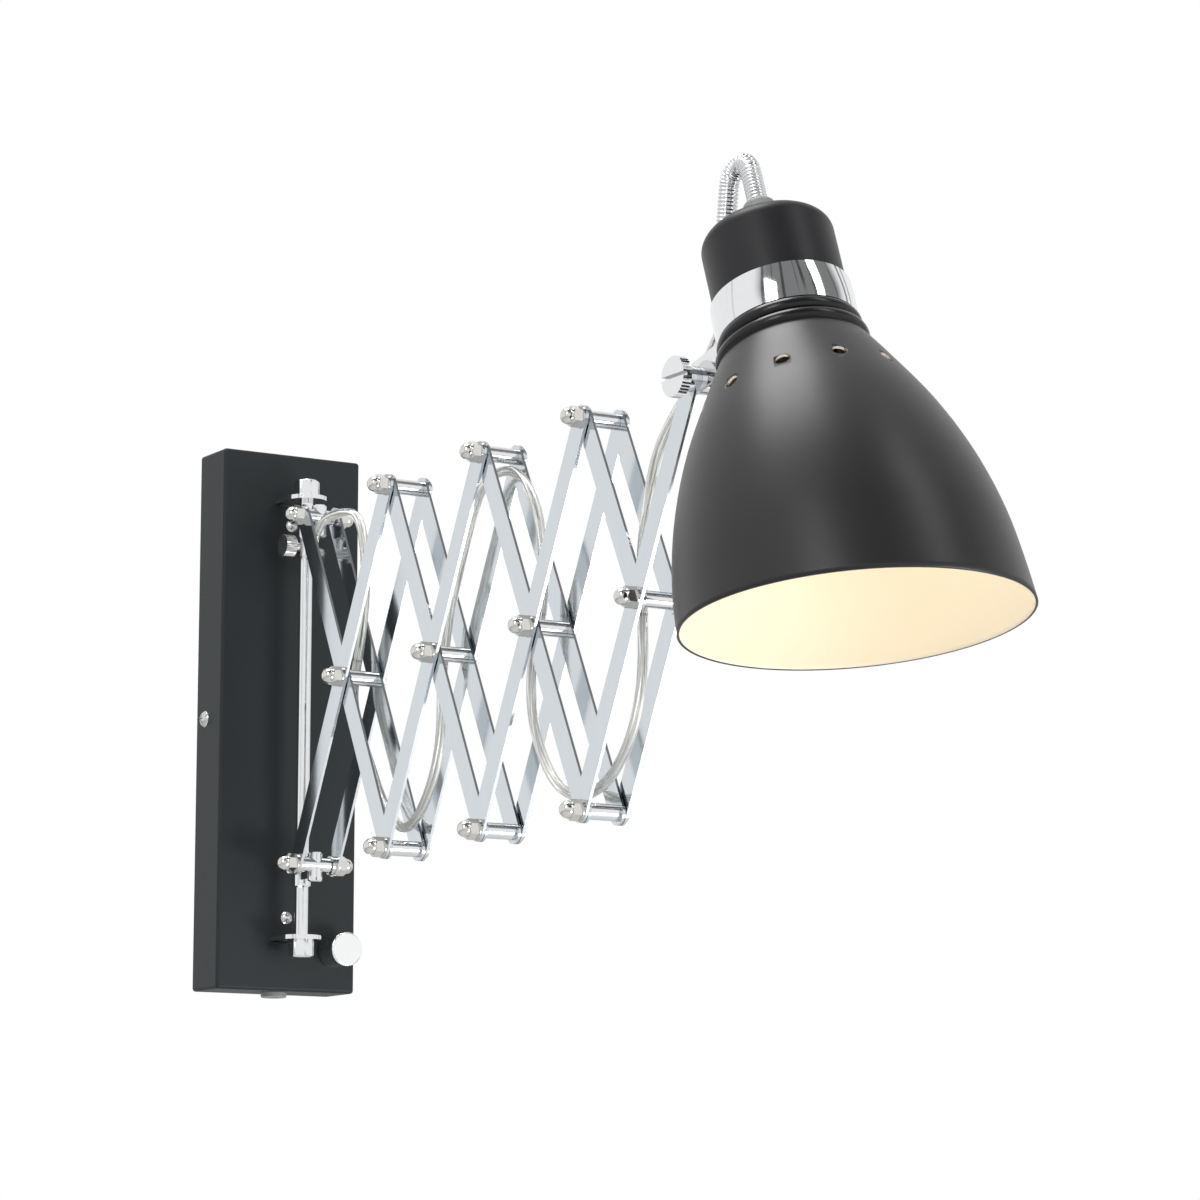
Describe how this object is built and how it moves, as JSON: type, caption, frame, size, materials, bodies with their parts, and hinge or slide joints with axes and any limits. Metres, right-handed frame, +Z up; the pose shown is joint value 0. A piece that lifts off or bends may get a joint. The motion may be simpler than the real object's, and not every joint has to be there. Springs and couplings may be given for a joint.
{
  "type": "wall lamp with scissor arm",
  "caption": "Wall lamp with a black box, a chrome scissor arm that swivels and extends, and a tilting black bell shade with a metal hose over its cap.",
  "frame": {"origin": "centre of the cover's back edge plane, on the wall", "axes": "+Z up, +Y into the wall, -Y out into the room, +X to the right when the box is seen from the room"},
  "size_m": [0.1682, 0.7014, 0.3909],
  "materials": {
    "black_cover": "matte",
    "plain_steel": "satin",
    "screw_steel": "gloss",
    "polished_chrome": "polished",
    "strip_chrome": "polished",
    "nut_nickel": "polished",
    "clamp_nickel": "satin",
    "shaft_steel": "satin",
    "black_plastic": "matte",
    "white_plastic": "satin",
    "grey_rubber": "matte",
    "clear_cable": "gloss",
    "cap_black": "satin",
    "gloss_black": "gloss",
    "shade_black": "satin",
    "bulb_glass": "matte",
    "hose_chrome": "polished"
  },
  "bodies": {
    "wall": {"wall_cover": "black_cover", "wall_bracket": "plain_steel", "side_screws": "screw_steel", "face_screws": "screw_steel", "upper_rod_bracket": "polished_chrome", "lower_rod_bracket": "polished_chrome", "rod": "polished_chrome", "rod_cap_nuts": "polished_chrome", "dimmer_module": "black_plastic", "terminal_block": "white_plastic", "cable_inlet_bush": "grey_rubber", "cable_exit_bush": "grey_rubber"},
    "dimmer_knob": {"dimmer_knob": "polished_chrome", "dimmer_shaft": "shaft_steel"},
    "upper_sleeve": {"upper_sleeve": "polished_chrome", "cable_loop": "clear_cable"},
    "clamp_screw": {"clamp_screw": "clamp_nickel"},
    "falling_1": {"falling_strip_1_left": "strip_chrome", "falling_strip_1_right": "strip_chrome", "falling_fasteners_1": "nut_nickel", "cable_on_link_1": "clear_cable"},
    "rising_1": {"rising_strip_1_left": "strip_chrome", "rising_strip_1_right": "strip_chrome", "rising_fasteners_1": "nut_nickel", "rising_spacers_1": "polished_chrome"},
    "lower_sleeve": {"lower_sleeve": "polished_chrome"},
    "rising_2": {"rising_strip_2_left": "strip_chrome", "rising_strip_2_right": "strip_chrome", "rising_fasteners_2": "nut_nickel", "rising_spacers_2": "polished_chrome", "cable_on_link_2": "clear_cable"},
    "falling_2": {"falling_strip_2_left": "strip_chrome", "falling_strip_2_right": "strip_chrome"},
    "falling_3": {"falling_strip_3_left": "strip_chrome", "falling_strip_3_right": "strip_chrome", "cable_on_link_3": "clear_cable"},
    "rising_3": {"rising_strip_3_left": "strip_chrome", "rising_strip_3_right": "strip_chrome", "rising_fasteners_3": "nut_nickel", "rising_spacers_3": "polished_chrome"},
    "rising_4": {"rising_strip_4_left": "strip_chrome", "rising_strip_4_right": "strip_chrome", "rising_fasteners_4": "nut_nickel", "rising_spacers_4": "polished_chrome", "head_pivot_nut": "nut_nickel", "cable_on_link_4": "clear_cable"},
    "falling_4": {"falling_strip_4_left": "strip_chrome", "falling_strip_4_right": "strip_chrome"},
    "head": {"head_fork": "polished_chrome", "head_spacer": "polished_chrome", "neck_band": "polished_chrome", "neck_cap": "cap_black", "bead_ring": "gloss_black", "shade": "shade_black", "lampholder": "white_plastic", "bulb": "bulb_glass", "cap_grommet": "grey_rubber", "cable_hose": "hose_chrome", "cable_on_head": "clear_cable"},
    "head_thumb_screw": {"head_thumb_screw": "polished_chrome"}
  },
  "joints": [
    {"name": "dimmer_turn", "type": "hinge", "parent": "wall", "child": "dimmer_knob", "pos_m": [0.0308, -0.042, -0.1352], "axis": [0, -1, 0], "range_deg": [-135, 135]},
    {"name": "arm_swivel", "type": "hinge", "parent": "wall", "child": "upper_sleeve", "pos_m": [0, -0.0505, 0.11672], "axis": [0, 0, 1], "range_deg": [-50, 50], "deforming": ["cable_loop"]},
    {"name": "clamp_turn", "type": "hinge", "parent": "upper_sleeve", "child": "clamp_screw", "pos_m": [-0.0085, -0.0505, 0.10102], "axis": [-1, 0, 0], "range_deg": [0, 180]},
    {"name": "arm_extend", "type": "hinge", "parent": "upper_sleeve", "child": "falling_1", "pos_m": [0, -0.067, 0.11672], "axis": [-1, 0, 0], "range_deg": [-22, 38], "deforming": ["cable_loop", "cable_on_link_1", "cable_on_link_2", "cable_on_link_3", "cable_on_link_4", "cable_on_head"]},
    {"name": "cross_1", "type": "hinge", "parent": "falling_1", "child": "rising_1", "pos_m": [0, -0.12025, 0.014], "axis": [1, 0, 0], "range_deg": [-44, 76]},
    {"name": "lower_sleeve_pivot", "type": "hinge", "parent": "rising_1", "child": "lower_sleeve", "pos_m": [0, -0.067, -0.08872], "axis": [-1, 0, 0], "range_deg": [-22, 38]},
    {"name": "bottom_1", "type": "hinge", "parent": "falling_1", "child": "rising_2", "pos_m": [0, -0.17349, -0.08872], "axis": [1, 0, 0], "range_deg": [-44, 76]},
    {"name": "cross_2", "type": "hinge", "parent": "rising_2", "child": "falling_2", "pos_m": [0, -0.22673, 0.014], "axis": [-1, 0, 0], "range_deg": [-44, 76]},
    {"name": "top_2", "type": "hinge", "parent": "rising_2", "child": "falling_3", "pos_m": [0, -0.27998, 0.11672], "axis": [-1, 0, 0], "range_deg": [-44, 76]},
    {"name": "cross_3", "type": "hinge", "parent": "falling_3", "child": "rising_3", "pos_m": [0, -0.33323, 0.014], "axis": [1, 0, 0], "range_deg": [-44, 76]},
    {"name": "bottom_3", "type": "hinge", "parent": "falling_3", "child": "rising_4", "pos_m": [0, -0.38647, -0.08872], "axis": [1, 0, 0], "range_deg": [-44, 76]},
    {"name": "cross_4", "type": "hinge", "parent": "rising_4", "child": "falling_4", "pos_m": [0, -0.43972, 0.014], "axis": [-1, 0, 0], "range_deg": [-44, 76]},
    {"name": "head_tilt", "type": "hinge", "parent": "rising_4", "child": "head", "pos_m": [0, -0.49296, 0.11672], "axis": [1, 0, 0], "range_deg": [-60, 25], "deforming": ["cable_on_head"]},
    {"name": "head_screw_turn", "type": "hinge", "parent": "rising_4", "child": "head_thumb_screw", "pos_m": [0, -0.49296, 0.11672], "axis": [-1, 0, 0], "range_deg": [0, 180]}
  ],
  "couplings": [
    {"joint": "cross_1", "follows": "arm_extend", "ratio": 2},
    {"joint": "lower_sleeve_pivot", "follows": "arm_extend", "ratio": 1},
    {"joint": "bottom_1", "follows": "arm_extend", "ratio": 2},
    {"joint": "cross_2", "follows": "arm_extend", "ratio": 2},
    {"joint": "top_2", "follows": "arm_extend", "ratio": 2},
    {"joint": "cross_3", "follows": "arm_extend", "ratio": 2},
    {"joint": "bottom_3", "follows": "arm_extend", "ratio": 2},
    {"joint": "cross_4", "follows": "arm_extend", "ratio": 2}
  ]
}
